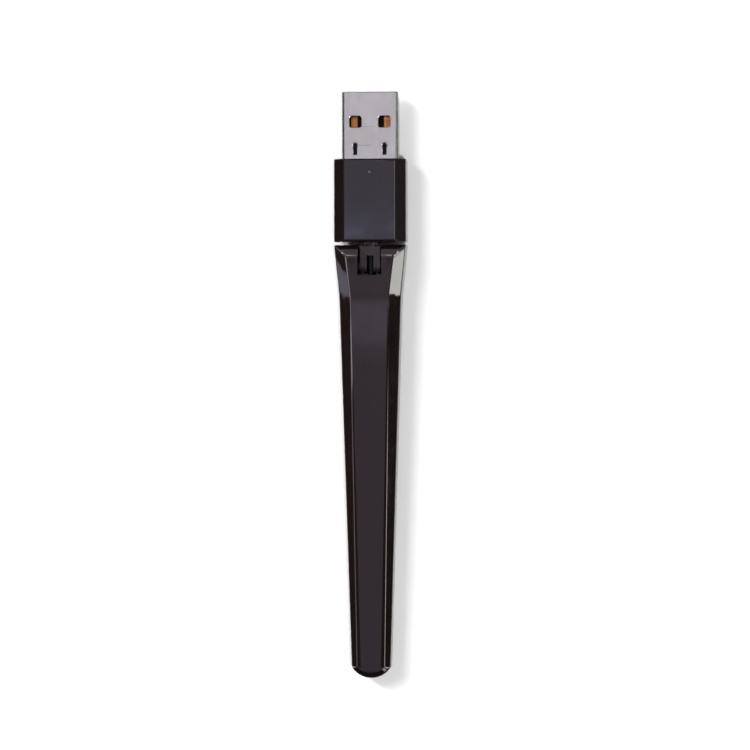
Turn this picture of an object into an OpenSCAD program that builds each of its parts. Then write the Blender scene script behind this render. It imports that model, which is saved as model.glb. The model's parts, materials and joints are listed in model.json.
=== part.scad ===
// USB wireless network adapter with a swivelling, folding flat antenna.
//
// Millimetres. +Y points out of the plug's mouth, +X to the right, +Z out of the face that carries the
// indicator. The origin is the centre of the plug in the plane of the hub's front shoulder.
// The hub holds the plug and the circuit board. A knuckle turns in the hub's rear wall about the Y axis,
// and the antenna folds on the knuckle's two bosses about a line parallel to X.

/* [Plug] */
// Width of the plug's steel shell, a standard size
plug_w = 12.0; // [11.9:0.05:12.1]
// Height of the plug's steel shell, a standard size
plug_h = 4.5; // [4.4:0.05:4.6]
// Thickness of the shell's sheet
plug_sheet = 0.3; // [0.25:0.01:0.32]
// Outer corner radius of the shell
plug_corner_r = 0.6; // [0.5:0.05:0.8]
// Length of shell in front of the hub
plug_reach = 14.34; // [12:0.02:15]
// Length of shell inside the hub
plug_tail = 4.5; // [4:0.1:4.8]
// Width of a latch window
window_w = 2.55; // [2.3:0.05:2.7]
// Length of a latch window
window_l = 2.45; // [2:0.05:2.6]
// Distance from the mouth to a latch window
window_from_mouth = 5.15; // [5:0.05:5.3]
// Distance of the windows' centres from the middle
window_x = 3.09; // [2.9:0.01:3.3]
// Corner radius of a latch window
window_corner_r = 0.5; // [0.3:0.05:0.6]
// Distance of the keyhole slots' centres from the middle
keyhole_x = 3.15; // [2.9:0.01:3.4]
// Distance from the mouth to a keyhole slot
keyhole_from_mouth = 10.9; // [10:0.1:11]
// Length of a keyhole slot
keyhole_l = 2.45; // [2:0.05:2.6]
// Width of a keyhole slot
keyhole_w = 0.7; // [0.5:0.05:0.75]
// Diameter of a keyhole slot's round head
keyhole_head_d = 0.9; // [0.8:0.05:1.1]
// Width of a contact blade
contact_w = 1.4; // [1:0.05:1.5]

/* [Hub] */
// Width of the hub
hub_w = 15.4; // [15.2:0.1:17]
// Height of the hub
hub_h = 8.0; // [8:0.1:9]
// Length of the hub, shoulder to rear face
hub_l = 17.74; // [17.6:0.02:20]
// Width of the flat face between the long bevels
hub_flat_w = 10.83; // [10:0.05:11.2]
// Height of a long bevel
hub_bevel_h = 1.7; // [1.4:0.05:1.8]
// Chamfer on the hub's front and rear edges
hub_chamfer = 0.45; // [0.3:0.05:0.6]
// Cut on the hub's four corners, seen from above
hub_corner = 0.2; // [0.1:0.05:0.4]
// Wall thickness of the casings
wall = 1.2; // [1:0.05:1.3]

/* [Hinge] */
// Gap between the hub's rear face and the antenna
hinge_gap = 0.62; // [0.5:0.02:1]
// Distance from the hub's rear face to the fold axis
fold_from_hub = 5.13; // [5.1:0.01:5.4]
// Height of the fold axis above the swivel axis
fold_z = 1.0; // [0.8:0.05:1.1]
// Diameter of the journal that turns in the hub's rear wall
journal_d = 4.0; // [3.8:0.05:4.1]
// Diameter of the flange that keeps the knuckle in the hub
flange_d = 5.6; // [5.4:0.05:5.7]
// Diameter of the ribbed neck in the gap
neck_d = 3.2; // [3:0.05:3.3]
// Radial running clearance of journal, stub and bosses
running = 0.05; // [0.03:0.01:0.08]
// Width of the knuckle's tongue
tongue_w = 4.3; // [4.2:0.02:4.4]
// Thickness of the tongue, twice its end radius
tongue_h = 2.72; // [2.6:0.02:2.8]
// Width of the slit between the tongue's legs
leg_gap = 1.5; // [1.4:0.02:1.6]
// Diameter of a pivot boss
boss_d = 1.8; // [1.6:0.05:1.9]

/* [Antenna] */
// Overall length of the antenna
antenna_l = 92.49; // [80:0.01:110]
// Width at the hinge end
antenna_front_w = 15.37; // [15.2:0.01:16]
// Length of the flare at the hinge end
flare_l = 11.14; // [10:0.02:13]
// Width where the flare ends
waist_w = 13.2; // [12.8:0.05:13.6]
// Width at the corners of the round tip
tip_w = 8.36; // [8:0.02:9]
// Radius of the round tip
tip_r = 4.94; // [4.8:0.02:5.5]
// Height of the upper face at the hinge end
antenna_top_z = 4.0; // [3.8:0.05:4.2]
// Height of the upper face at the tip
tip_top_z = 2.2; // [2:0.05:3]
// Height of the seam between the antenna's two shells
antenna_seam_z = -2.0; // [-2.1:0.05:-1.9]
// Width of the slot for the knuckle
slot_w = 4.95; // [4.8:0.05:5.1]
// Length of the slot for the knuckle
slot_l = 6.43; // [6.4:0.01:6.8]

/* [Cable] */
// Diameter of the coaxial cable
coax_d = 1.13; // [1:0.01:1.2]

/* [Hidden] */
$fn = 48;
eps = 0.01;
fit_gap = 0.05;          // clearance between pieces that only sit together
far = 60;                // larger than any section of the part

mouth_y = plug_reach;
hub_rear_y = -hub_l;
floor_z = -hub_h / 2;    // the plane that the hub and the antenna both lie on

// circuit board of the hub
pcb_top_z = -coax_d / 2; // the cable lies on the board and stays on the swivel axis
pcb_t = 0.8;
pcb_w = 12.4;
pcb_front_y = -5.0;
pcb_rear_y = -14.0;
contact_xs = [-3.5, -1, 1, 3.5];
contact_t = 0.2;
contact_top_z = 0.05;
insulator_top_z = contact_top_z - 0.05;

// hinge stations along Y, front to rear
bearing_front_y = hub_rear_y + 3.54;   // front face of the bearing block
groove_front_y = hub_rear_y + 2.54;    // the flange turns between this plane and the next
groove_rear_y = hub_rear_y + 1.44;
flange_t = groove_front_y - groove_rear_y - 2 * 0.03;
stub_d = 3.4;
stop_w = 0.9;                          // stop tab on the flange
stop_r = flange_d / 2 + 0.5;
stop_groove_r = stop_r + 0.1;
cable_bore_d = 1.5;
antenna_front_y = hub_rear_y - hinge_gap;
root_y = antenna_front_y - 0.24;       // front of the knuckle's square root
fold_y = hub_rear_y - fold_from_hub;
leg_root_y = fold_y + 2.27;            // where the two legs start
boss_reach = 3.35;                     // half distance over both bosses
slot_end_y = antenna_front_y - slot_l;
cheek_t = 1.35;                        // walls at both sides of the slot

// antenna stations along Y
end_bevel_y = antenna_front_y - 2.14;
waist_y = antenna_front_y - flare_l;
tip_y = antenna_front_y - antenna_l;
tip_centre_y = tip_y + tip_r;
edge_z = 2.3;                          // upper bevel's lower edge at the waist and at the front
flare_edge_z = 2.8;                    // the same where the flare meets the end bevel
end_break_z = 3.4;                     // the end bevel has two slopes and breaks at this height
tip_edge_z = 1.3;
low_bevel_h = 1.4;
low_bevel_w = 1.6;
tip_steps = 9;
tip_rim = 1.4;                         // width of the bevel round the tip

// board in the antenna
board_w = 5.2;
board_t = 0.6;
board_front_y = waist_y - 9;
board_rear_y = board_front_y - 60;
tape_w = 3.6;
tape_t = 0.3;
cavity_floor_z = floor_z + wall;
board_z = cavity_floor_z + tape_t;
copper_t = 0.05;

// ---- shared shapes ----

// A straight prism along Y, between two stations, from an outline in X and Z.
module prism_y(front_y, rear_y) {
    translate([0, front_y, 0]) rotate([90, 0, 0]) linear_extrude(front_y - rear_y) children();
}

// A round bar along Y.
module bar_y(d, front_y, rear_y, z = 0) {
    translate([0, front_y, z]) rotate([90, 0, 0]) cylinder(d = d, h = front_y - rear_y);
}

// A block given by its low and high corners.
module block(low, high) {
    translate(low) cube(high - low);
}

module rounded_rectangle(w, h, r) {
    union() {
        square([w - 2 * r, h], center = true);
        square([w, h - 2 * r], center = true);
        for (x = [-1, 1], y = [-1, 1]) translate([x * (w / 2 - r), y * (h / 2 - r)]) circle(r);
    }
}

// A surface part standing on the hub's board.
module on_board(x, y, size) {
    translate([x - size[0] / 2, y - size[1] / 2, pcb_top_z]) cube(size);
}

// ---- hub ----

// The hub's cross-section: a rectangle with four long bevels, moved in by t.
module hub_section(t = 0) {
    bevel_w = (hub_w - hub_flat_w) / 2;
    slant = sqrt(bevel_w * bevel_w + hub_bevel_h * hub_bevel_h);
    side = hub_w / 2 - t;
    top = hub_h / 2 - t;
    // where the bevel, moved in by t, meets the side and the flat
    side_z = hub_h / 2 - hub_bevel_h - t * (slant - hub_bevel_h) / bevel_w;
    flat_x = hub_flat_w / 2 - t * (slant - bevel_w) / hub_bevel_h;
    polygon([
        [side, side_z], [flat_x, top], [-flat_x, top], [-side, side_z],
        [-side, -side_z], [-flat_x, -top], [flat_x, -top], [side, -side_z]
    ]);
}

// A rectangle from the hub's front to its rear, with corners cut by c.
module hub_outline(half, c) {
    polygon([
        [half - c, 0], [half, -c], [half, hub_rear_y + c], [half - c, hub_rear_y],
        [c - half, hub_rear_y], [-half, hub_rear_y + c], [-half, -c], [c - half, 0]
    ]);
}

module hub_form() {
    intersection() {
        prism_y(0, hub_rear_y) hub_section();
        translate([0, 0, -far / 2]) linear_extrude(far) hub_outline(hub_w / 2, hub_corner);
        rotate([0, 90, 0]) translate([0, 0, -far / 2]) linear_extrude(far) hub_outline(hub_h / 2, hub_chamfer);
    }
}

// Everything that is hollow in both covers: the room for the board, the plug and the knuckle's bearings.
module hub_hollow() {
    prism_y(-wall, bearing_front_y) hub_section(wall);
    prism_y(eps, -wall - eps) rounded_rectangle(plug_w + 2 * fit_gap, plug_h + 2 * fit_gap, plug_corner_r);
    bar_y(stub_d + 2 * running, bearing_front_y + eps, groove_front_y - eps);
    bar_y(journal_d + 2 * running, groove_rear_y + eps, hub_rear_y - eps);
    bar_y(flange_d + 0.1, groove_front_y, groove_rear_y);
}

// The room that the stop tab sweeps, a quarter turn to each side.
module stop_sweep() {
    intersection() {
        bar_y(2 * stop_groove_r, groove_front_y, groove_rear_y);
        block([-far / 2, -far, -stop_w / 2 - fit_gap], [far / 2, 0, far]);
    }
}

lip_w = 0.45;
lip_h = 0.5;

// The ridges along the seam: they stand on the bottom cover and enter grooves in the top cover.
module hub_ridges(extra = 0) {
    side = hub_w / 2 - wall;
    for (s = [-1, 1]) {
        x0 = side + 0.02 - extra;
        x1 = side + lip_w + extra;
        block([min(s * x0, s * x1), bearing_front_y + 0.4 - extra, -eps],
              [max(s * x0, s * x1), -wall - 0.4 + extra, lip_h + extra]);
    }
}

module hub_top_cover() {
    color([0.04, 0.04, 0.042])
    difference() {
        intersection() {
            hub_form();
            block([-far, -far, 0], [far, far, far]);
        }
        hub_hollow();
        stop_sweep();
        hub_ridges(fit_gap);
        translate([0, led_y, 0]) cylinder(d = led_hole_d, h = hub_h);
    }
}

module hub_bottom_cover() {
    color([0.04, 0.04, 0.042])
    union() {
        difference() {
            intersection() {
                hub_form();
                block([-far, -far, -far], [far, far, 0]);
            }
            hub_hollow();
            stop_sweep();
        }
        hub_ridges();
        // two ledges that carry the board
        for (s = [-1, 1])
            block([s * 5.1 - 0.5, pcb_rear_y + 0.3, -hub_h / 2 + wall - eps],
                  [s * 5.1 + 0.5, pcb_front_y - 0.6, pcb_top_z - pcb_t]);
    }
}

// ---- plug ----

module keyhole() {
    head_y = mouth_y - keyhole_from_mouth - keyhole_head_d / 2;
    tail_y = mouth_y - keyhole_from_mouth - keyhole_l;
    union() {
        translate([0, head_y, 0]) cylinder(d = keyhole_head_d, h = plug_h);
        block([-keyhole_w / 2, tail_y, 0], [keyhole_w / 2, head_y, plug_h]);
    }
}

module plug_shell() {
    window_y = mouth_y - window_from_mouth - window_l / 2;
    color([0.71, 0.70, 0.72])
    difference() {
        prism_y(mouth_y, -plug_tail) rounded_rectangle(plug_w, plug_h, plug_corner_r);
        prism_y(mouth_y + eps, -plug_tail - eps)
            rounded_rectangle(plug_w - 2 * plug_sheet, plug_h - 2 * plug_sheet, plug_corner_r - plug_sheet);
        // two latch windows in each face
        for (s = [-1, 1])
            translate([s * window_x, window_y, -plug_h])
                linear_extrude(2 * plug_h) rounded_rectangle(window_w, window_l, window_corner_r);
        // keyhole slots in the upper face only
        for (s = [-1, 1]) translate([s * keyhole_x, 0, 0]) keyhole();
        // the butt joint where the folded sheet meets, under the plug
        block([-0.04, -plug_tail - eps, -plug_h], [0.04, mouth_y + eps, -plug_h / 2 + plug_sheet + eps]);
    }
}

insulator_w = plug_w - 2 * plug_sheet - 0.1;
insulator_half_h = plug_h / 2 - plug_sheet - 0.02;
insulator_step_y = mouth_y - 9.4;       // in front of this the upper half is open for the socket's tongue

module plug_insulator() {
    color([0.03, 0.03, 0.03])
    difference() {
        prism_y(mouth_y - 0.35, -plug_tail + 0.3)
            rounded_rectangle(insulator_w, 2 * insulator_half_h, plug_corner_r - plug_sheet + 0.05);
        // the socket's tongue enters here
        block([-far, insulator_step_y, insulator_top_z], [far, far, far]);
        // channels that hold the four blades
        for (x = contact_xs)
            block([x - contact_w / 2 - 0.01, -plug_tail - 1, contact_top_z - contact_t - 0.01],
                  [x + contact_w / 2 + 0.01, mouth_y - 0.9, contact_top_z + 0.01]);
    }
}

tail_end_y = pcb_front_y - 1.9;

module contact() {
    union() {
        block([-contact_w / 2, -plug_tail - 0.2, contact_top_z - contact_t],
              [contact_w / 2, mouth_y - 1.0, contact_top_z]);
        block([-contact_w / 2, -plug_tail - 0.2, pcb_top_z], [contact_w / 2, -plug_tail, contact_top_z]);
        block([-contact_w / 2, tail_end_y, pcb_top_z], [contact_w / 2, -plug_tail, pcb_top_z + contact_t]);
    }
}

module plug_contacts() {
    color([0.72, 0.48, 0.20])
    for (x = contact_xs) translate([x, 0, 0]) contact();
}

// ---- circuit board of the hub ----

shield_low = [-5.6, -12.3];
shield_size = [7.4, 5.0, 1.5];
shield_sheet = 0.2;
shield_x = shield_low[0] + shield_size[0] / 2;
shield_y = shield_low[1] + shield_size[1] / 2;
led_y = -2.84;
led_hole_d = 0.6;
guide_recess = 0.25;       // how far the guide's end lies under the hub's face
led_part_x = 2.25;
led_part_y = pcb_front_y - 1.3;
led_size = [0.8, 1.6, 0.55];
cap_size = [0.5, 1.0, 0.5];
res_size = [0.5, 1.0, 0.35];
cable_start_y = pcb_rear_y + 0.65;

module main_pcb() {
    color([0.05, 0.22, 0.12])
    difference() {
        block([-pcb_w / 2, pcb_rear_y, pcb_top_z - pcb_t], [pcb_w / 2, pcb_front_y, pcb_top_z]);
        // two notches that locate the board
        for (s = [-1, 1])
            translate([s * pcb_w / 2, pcb_rear_y + 3.2, -far / 2]) cylinder(d = 1.0, h = far);
    }
}

module wifi_chip() {
    color([0.05, 0.05, 0.055]) on_board(shield_x, shield_y, [4, 4, 0.8]);
}

module rf_shield() {
    color([0.74, 0.74, 0.74])
    translate([0, 0, pcb_top_z])
    difference() {
        translate([shield_low[0], shield_low[1], 0]) cube(shield_size);
        translate([shield_low[0] + shield_sheet, shield_low[1] + shield_sheet, -eps])
            cube([shield_size[0] - 2 * shield_sheet, shield_size[1] - 2 * shield_sheet,
                  shield_size[2] - shield_sheet + eps]);
        // a hole that lets solder gas out
        translate([shield_x + 2.4, shield_y + 1.6, 0]) cylinder(d = 0.5, h = far);
    }
}

module crystal() {
    color([0.80, 0.79, 0.75]) on_board(3.6, -8.6, [2.5, 2.0, 0.65]);
}

module voltage_regulator() {
    color([0.06, 0.06, 0.06])
    union() {
        on_board(4.4, -11.9, [1.4, 2.8, 1.0]);
        // three leads in a five-lead style body's two rows
        for (dy = [-0.95, 0, 0.95]) on_board(3.45, -11.9 + dy, [0.6, 0.4, 0.2]);
        for (dy = [-0.95, 0.95]) on_board(5.35, -11.9 + dy, [0.6, 0.4, 0.2]);
    }
}

module capacitors() {
    color([0.62, 0.48, 0.34])
    for (p = [[5.5, -7.9], [5.5, -9.3], [-5.2, -6.3], [-2.25, -6.3], [2.6, -10.9], [2.6, -12.6]])
        on_board(p[0], p[1], cap_size);
}

module resistors() {
    color([0.10, 0.10, 0.11])
    for (p = [[5.5, -6.0], [4.6, -6.0], [0, -6.0], [-4.5, -13.2]]) on_board(p[0], p[1], res_size);
}

module status_led() {
    color([0.90, 0.88, 0.72]) on_board(led_part_x, led_part_y, led_size);
}

// Clear guide from the indicator on the board, over the plug's shell, to the pinhole in the cover.
module light_guide() {
    sheet_low = plug_h / 2 + 0.06;
    sheet_high = sheet_low + 0.4;
    color([0.85, 0.88, 0.90])
    union() {
        block([led_part_x - 0.4, led_part_y - 0.6, pcb_top_z + led_size[2] + 0.05],
              [led_part_x + 0.4, -plug_tail - 0.25, sheet_high]);
        translate([0, 0, sheet_low]) linear_extrude(sheet_high - sheet_low)
            polygon([
                [led_part_x - 0.4, led_part_y - 0.6], [led_part_x + 0.4, led_part_y - 0.6],
                [led_part_x + 0.4, -plug_tail - 0.25], [0.4, led_y + 0.4], [-0.4, led_y + 0.4],
                [-0.4, led_y - 0.4], [led_part_x - 0.4, -plug_tail - 0.25]
            ]);
        translate([0, led_y, sheet_high - eps])
            cylinder(d = led_hole_d - 0.06, h = hub_h / 2 - guide_recess - sheet_high);
    }
}

module coax_hub() {
    color([0.06, 0.06, 0.065]) bar_y(coax_d, cable_start_y, bearing_front_y - 0.1);
}

module hub_solder_joints() {
    color([0.70, 0.70, 0.72])
    union() {
        // one fillet behind each blade's tail
        for (x = contact_xs)
            intersection() {
                translate([x - contact_w / 2, tail_end_y - 0.01, pcb_top_z]) rotate([0, 90, 0])
                    cylinder(r = 0.19, h = contact_w);
                block([-far, -far, pcb_top_z], [far, tail_end_y - 0.01, far]);
            }
        // the cable's core and its braid
        block([-0.3, cable_start_y + 0.01, pcb_top_z], [0.3, cable_start_y + 0.8, pcb_top_z + 0.5]);
        for (s = [-1, 1])
            block([s * 0.95 - 0.35, cable_start_y - 0.6, pcb_top_z],
                  [s * 0.95 + 0.35, cable_start_y - 0.05, pcb_top_z + 0.45]);
    }
}

// ---- hinge knuckle ----

module knuckle_turned() {
    flange_front = groove_front_y - 0.03;
    flange_rear = groove_rear_y + 0.03;
    bar_y(stub_d, bearing_front_y - 0.02, flange_front - eps);
    bar_y(flange_d, flange_front, flange_rear);
    bar_y(journal_d, flange_rear + eps, hub_rear_y + 0.1);
    bar_y(neck_d - 0.3, hub_rear_y + 0.11, root_y - eps);
    // ribs round the neck
    for (i = [0:1]) bar_y(neck_d, hub_rear_y - 0.16 - 0.3 * i, hub_rear_y - 0.30 - 0.3 * i);
}

module hinge_knuckle() {
    half_h = tongue_h / 2;
    color([0.085, 0.08, 0.085])
    difference() {
        union() {
            knuckle_turned();
            // stop tab
            block([-stop_w / 2, groove_rear_y + 0.03, flange_d / 2 - 0.3],
                  [stop_w / 2, groove_front_y - 0.03, stop_r]);
            // square root, tall enough to take the neck
            block([-tongue_w / 2, leg_root_y, -neck_d / 2], [tongue_w / 2, root_y, fold_z + half_h]);
            // tongue with its round end about the fold axis
            block([-tongue_w / 2, fold_y, fold_z - half_h], [tongue_w / 2, leg_root_y + eps, fold_z + half_h]);
            translate([-tongue_w / 2, fold_y, fold_z]) rotate([0, 90, 0]) cylinder(r = half_h, h = tongue_w);
            // bosses that carry the antenna
            translate([-boss_reach, fold_y, fold_z]) rotate([0, 90, 0]) cylinder(d = boss_d, h = 2 * boss_reach);
        }
        // slit between the legs
        block([-leg_gap / 2, fold_y - far, -far], [leg_gap / 2, leg_root_y, far]);
        bar_y(cable_bore_d, 0, fold_y);
    }
}

module coax_knuckle() {
    color([0.06, 0.06, 0.065]) bar_y(coax_d, bearing_front_y - 0.15, leg_root_y - 0.4);
}

// ---- antenna ----

function lerp(a, b, t) = a + (b - a) * t;

// Height of the antenna's upper face, level to the waist and then falling, and of its bevel's lower edge,
// which also falls from the flare's front to the waist.
function fall(y) = max(0, (waist_y - y) / (waist_y - tip_y));
function top_z(y) = lerp(antenna_top_z, tip_top_z, fall(y));
function bevel_z(y) = y > waist_y
    ? lerp(edge_z, flare_edge_z, (y - waist_y) / (end_bevel_y - waist_y))
    : lerp(edge_z, tip_edge_z, fall(y));
// Half widths of the outline and of the upper flat.
waist_flat = 4.2;
end_flat = 5.24;
tip_flat = 2.95;
corner_y = tip_centre_y - sqrt(tip_r * tip_r - tip_w * tip_w / 4);
function taper(y) = (waist_y - y) / (waist_y - corner_y);
function flare(y) = (waist_y - y) / (waist_y - antenna_front_y);
function half_w(y) = y > waist_y
    ? lerp(waist_w, antenna_front_w, flare(y)) / 2
    : lerp(waist_w, tip_w, taper(y)) / 2;
function half_flat(y) = y > waist_y
    ? lerp(waist_flat, end_flat, (y - waist_y) / (end_bevel_y - waist_y))
    : lerp(waist_flat, tip_flat, taper(y));
// Width of the narrow facet between the upper flat and the bevel.
function facet(y) = lerp(0.25, 0.8, max(0, taper(y)));

// Cross-section at y: right side from the top down, then the left side back up. t moves it in.
// g and zg are the half width and height of the lower flat.
function ring(y, w, f, zt, zb, g, zg) = [
    for (p = [
        [f - facet(y), zt], [f, zt - 0.16 * facet(y) - 0.04], [w, zb],
        [w, floor_z + low_bevel_h], [g, zg]
    ]) [max(p[0], 0.02), y, p[1]]
];
function both_sides(r) = concat(r, [for (i = [len(r) - 1:-1:0]) [-r[i][0], r[i][1], r[i][2]]]);

// Sections of the antenna, moved in by t, from the hinge end to the tip.
function straight_ring(y, t) =
    ring(y, half_w(y) - t, half_flat(y) - 0.5 * t, top_z(y) - t, bevel_z(y) - 0.5 * t,
         half_w(y) - low_bevel_w - 0.45 * t, floor_z + t);
function end_ring(t) =
    ring(antenna_front_y - t, antenna_front_w / 2 - t, antenna_front_w / 2 - t - 0.3,
         edge_z + 0.25 - 0.5 * t, edge_z - 0.5 * t,
         antenna_front_w / 2 - low_bevel_w - 0.45 * t, floor_z + t);
function break_ring(t) =
    let (s = 0.45, y = lerp(antenna_front_y, end_bevel_y, s) - 0.65 * t)
    ring(y, half_w(y) - t, lerp(antenna_front_w / 2 - 0.3, end_flat, s) - 0.75 * t, end_break_z - t,
         lerp(edge_z, flare_edge_z, s) - 0.5 * t, half_w(y) - low_bevel_w - 0.45 * t, floor_z + t);
function tip_ring(a, t) =
    let (r = tip_r - t,
         y = tip_centre_y - r * cos(a),
         w = r * sin(a),
         rf = r - tip_rim,
         inside = rf * rf - pow(tip_centre_y - y, 2),
         f = min(half_flat(y) - 0.5 * t, sqrt(max(inside, 0.01))),
         sink = max(0, (tip_centre_y - rf - y) / tip_rim),
         rg = tip_r - low_bevel_w - 0.45 * t,
         g = sqrt(max(rg * rg - pow(tip_centre_y - y, 2), 0.01)),
         rise = max(0, (tip_centre_y - rg - y) / low_bevel_w))
    ring(y, w, min(f, w * 0.97), lerp(top_z(y), bevel_z(y) + 0.1, sink) - t, bevel_z(y) - 0.5 * t,
         min(g, w * 0.97), lerp(floor_z, floor_z + low_bevel_h - 0.1, rise) + t);
function tip_start(t) = asin((tip_w / 2 - t) / (tip_r - t));
function sections(t) = [
    both_sides(end_ring(t)),
    both_sides(break_ring(t)),
    both_sides(straight_ring(end_bevel_y - 0.3 * t, t)),
    both_sides(straight_ring(waist_y, t)),
    for (i = [0:tip_steps]) both_sides(tip_ring(lerp(tip_start(t), 3, i / tip_steps), t))
];

// A closed skin over a list of sections that all have the same number of points.
module loft(rings) {
    n = len(rings[0]);
    last = len(rings) - 1;
    points = [for (r = rings) each r];
    skins = [
        for (k = [0:last - 1], i = [0:n - 1])
            let (a = k * n + i, b = k * n + (i + 1) % n)
            each [[a, b, b + n], [a, b + n, a + n]]
    ];
    front = [for (i = [n - 1:-1:0]) i];
    back = [for (i = [0:n - 1]) last * n + i];
    polyhedron(points, concat(skins, [front, back]), convexity = 6);
}

module antenna_form(t = 0) {
    loft(sections(t));
}

module antenna_slot() {
    block([-slot_w / 2, slot_end_y, antenna_seam_z - eps], [slot_w / 2, antenna_front_y + 1, far]);
}

module antenna_top_shell() {
    color([0.035, 0.033, 0.035])
    difference() {
        antenna_form();
        // the hollow, which leaves walls round the slot
        difference() {
            antenna_form(wall);
            block([-slot_w / 2 - cheek_t, slot_end_y - cheek_t, -far],
                  [slot_w / 2 + cheek_t, antenna_front_y + 1, far]);
        }
        block([-far, -2 * far, -far], [far, far, antenna_seam_z]);
        antenna_slot();
        // bores for the knuckle's bosses
        translate([-boss_reach - 0.1, fold_y, fold_z]) rotate([0, 90, 0])
            cylinder(d = boss_d + 2 * running, h = 2 * boss_reach + 0.2);
        // way for the cable
        bar_y(cable_bore_d, slot_end_y + 1, slot_end_y - cheek_t - 1);
        // groove for the bottom cover's ridge
        intersection() {
            antenna_form(wall - lip_w - fit_gap);
            block([-far, -2 * far, antenna_seam_z - eps], [far, far, antenna_seam_z + lip_h + fit_gap]);
            block([-far, -2 * far, -far], [far, slot_end_y - cheek_t - 1, far]);
        }
    }
}

module antenna_bottom_cover() {
    color([0.035, 0.033, 0.035])
    union() {
        difference() {
            antenna_form();
            block([-far, -2 * far, antenna_seam_z], [far, far, far]);
            intersection() {
                antenna_form(wall);
                block([-far, -2 * far, cavity_floor_z], [far, far, far]);
            }
        }
        // ridge that enters the top shell's groove
        difference() {
            intersection() {
                antenna_form(wall - lip_w);
                block([-far, -2 * far, antenna_seam_z - 0.1], [far, far, antenna_seam_z + lip_h]);
                block([-far, -2 * far, -far], [far, slot_end_y - cheek_t - 1.1, far]);
            }
            antenna_form(wall);
        }
    }
}

module antenna_board() {
    color([0.05, 0.22, 0.12])
    block([-board_w / 2, board_rear_y, board_z], [board_w / 2, board_front_y, board_z + board_t]);
}

// A printed dipole: a feed line between two arms, and their mirror image with a short middle arm for the
// upper band.
arm_x = 1.6;
arm_w = 0.7;
arm_reach = 22;
feed_gap = 0.8;

module antenna_traces() {
    z0 = board_z + board_t;
    z1 = z0 + copper_t;
    feed_y = board_front_y - 26;
    color([0.72, 0.45, 0.25])
    union() {
        block([-0.45, feed_y + feed_gap, z0], [0.45, board_front_y - 3, z1]);
        block([-0.5, feed_y - 14, z0], [0.5, feed_y - feed_gap, z1]);
        for (end = [-1, 1]) {
            y0 = feed_y + end * feed_gap;
            y1 = y0 + end * 1.2;
            block([-arm_x - arm_w, min(y0, y1), z0], [arm_x + arm_w, max(y0, y1), z1]);
            for (s = [-1, 1])
                block([s * (arm_x + arm_w / 2) - arm_w / 2, min(y0, y0 + end * arm_reach), z0],
                      [s * (arm_x + arm_w / 2) + arm_w / 2, max(y0, y0 + end * arm_reach), z1]);
        }
    }
}

// The cable from the slot's end wall down to the board, along an eased curve.
cable_steps = 14;
cable_sides = 16;
cable_start = slot_end_y - 0.1;
cable_level = slot_end_y - 3;          // the cable starts to drop here
cable_land = board_front_y + 1.2;      // and lies on the board from here
cable_end = board_front_y - 2.4;
cable_low_z = board_z + board_t + copper_t + coax_d / 2;
function ease(t) = (1 - cos(180 * min(max(t, 0), 1))) / 2;
function cable_z(y) = cable_low_z * ease((cable_level - y) / (cable_level - cable_land));
function cable_ring(y) = [
    for (i = [0:cable_sides - 1])
        let (a = 360 * i / cable_sides) [coax_d / 2 * sin(a), y, cable_z(y) + coax_d / 2 * cos(a)]
];

module coax_antenna() {
    color([0.06, 0.06, 0.065])
    loft([
        cable_ring(cable_start),
        for (i = [0:cable_steps]) cable_ring(lerp(cable_level, cable_land, i / cable_steps)),
        cable_ring(cable_end)
    ]);
}

module antenna_solder_joints() {
    z0 = board_z + board_t + copper_t;
    color([0.70, 0.70, 0.72])
    union() {
        translate([0, board_front_y - 3.0, z0 + 0.01]) cylinder(d1 = 0.8, d2 = 0.5, h = 0.45, $fn = 32);
        for (s = [-1, 1])
            translate([s * 1.0, board_front_y - 1.6, board_z + board_t + 0.01])
                cylinder(d1 = 0.7, d2 = 0.5, h = 0.4, $fn = 32);
    }
}

module antenna_tape() {
    color([0.55, 0.55, 0.56])
    block([-tape_w / 2, board_rear_y + 2, cavity_floor_z], [tape_w / 2, board_front_y - 2, board_z]);
}

hub_top_cover();
hub_bottom_cover();
plug_shell();
plug_insulator();
plug_contacts();
main_pcb();
wifi_chip();
rf_shield();
crystal();
voltage_regulator();
capacitors();
resistors();
status_led();
light_guide();
coax_hub();
hub_solder_joints();
hinge_knuckle();
coax_knuckle();
antenna_top_shell();
antenna_bottom_cover();
antenna_board();
antenna_traces();
coax_antenna();
antenna_solder_joints();
antenna_tape();
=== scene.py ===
"""Looks for the USB wireless adapter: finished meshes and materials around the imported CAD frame.

The object lies on the floor with its plug towards +Y and its indicator side up, and the camera looks
down on it. Shapes are worked out in millimetres and turned into metres by MM when a mesh is made.
"""

import json
import math

import bmesh
import bpy
from mathutils import Matrix, Vector


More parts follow.
